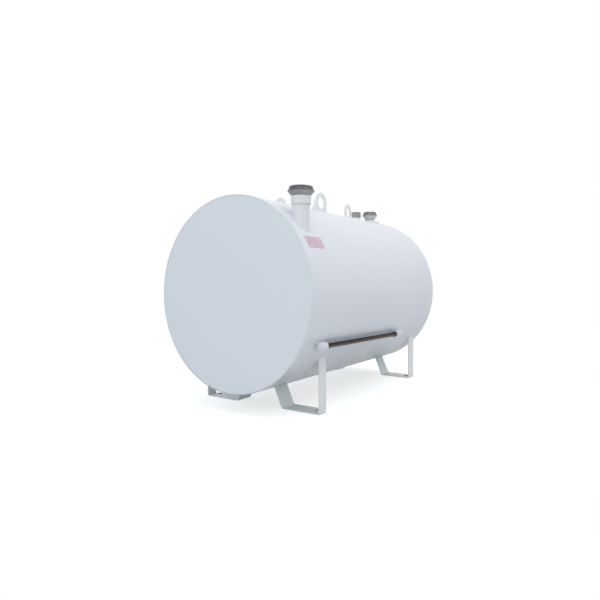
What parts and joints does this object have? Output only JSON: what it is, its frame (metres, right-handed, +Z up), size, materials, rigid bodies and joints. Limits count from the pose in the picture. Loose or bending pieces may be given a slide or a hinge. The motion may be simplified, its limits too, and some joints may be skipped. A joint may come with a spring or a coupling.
{
  "type": "utility fuel tank",
  "caption": "Horizontal cylindrical steel fuel tank with flat ends on bent plate legs, with a capped riser, lifting lugs, capped top fittings and a gauge stick along its side.",
  "frame": {"origin": "on the ground, under the middle of the tank", "axes": "+Z up, +Y along the tank axis from the near end to the far end, +X towards the side with the riser and the gauge stick"},
  "size_m": [1.2192, 1.8288, 1.4642],
  "materials": {
    "tank_paint": "smooth white enamel, semi-gloss",
    "cap_metal": "grey cast metal, satin",
    "stick_wood": "dark stained hardwood"
  },
  "bodies": {
    "root": {"tank_shell": "tank_paint", "near_head": "tank_paint", "far_head": "tank_paint", "riser_pipe": "tank_paint", "riser_collar": "tank_paint", "riser_cap": "cap_metal", "near_lug_right": "tank_paint", "near_lug_left": "tank_paint", "far_lug": "tank_paint", "bung": "tank_paint", "bung_plug": "cap_metal", "vent_pad": "tank_paint", "vent_cap": "cap_metal", "near_right_foot": "tank_paint", "near_left_foot": "tank_paint", "far_right_foot": "tank_paint", "far_left_foot": "tank_paint", "near_right_upright": "tank_paint", "near_left_upright": "tank_paint", "far_right_upright": "tank_paint", "far_left_upright": "tank_paint", "near_stick_holder": "tank_paint", "far_stick_holder": "tank_paint", "gauge_stick": "stick_wood"}
  },
  "joints": []
}
